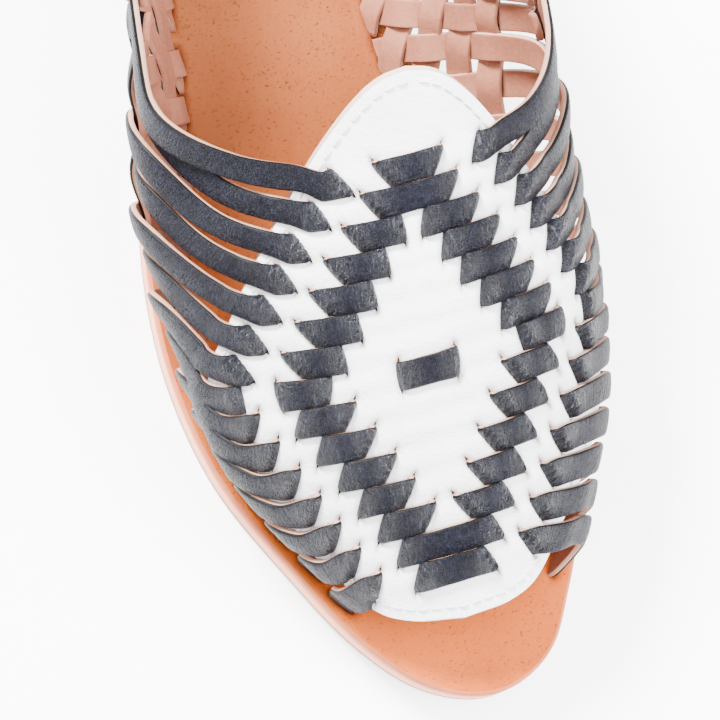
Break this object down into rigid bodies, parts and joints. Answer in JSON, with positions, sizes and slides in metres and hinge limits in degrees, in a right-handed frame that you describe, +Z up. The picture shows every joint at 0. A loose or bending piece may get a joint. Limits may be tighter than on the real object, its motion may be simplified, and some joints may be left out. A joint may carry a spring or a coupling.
{
  "type": "sandal",
  "caption": "Slip-on huarache sandal for the right foot: navy leather straps threaded through a white vamp plate, woven quarter, open toe, tan footbed and a low stacked heel",
  "frame": {"origin": "centre of the heel's flat rest on the floor", "axes": "X runs from the heel to the toe, Y to the big-toe side, Z up; metres"},
  "size_m": [0.2505, 0.1031, 0.073],
  "materials": {
    "strap_leather": "smooth, slightly creased",
    "footbed_leather": "smooth tan",
    "sole_leather": "raw edge",
    "outsole": "matte",
    "heel_stack": "raw stacked edge"
  },
  "bodies": {
    "root": {"upper": "strap_leather", "insole": "footbed_leather", "midsole": "sole_leather", "outsole": "outsole", "heel": "heel_stack"}
  },
  "joints": []
}
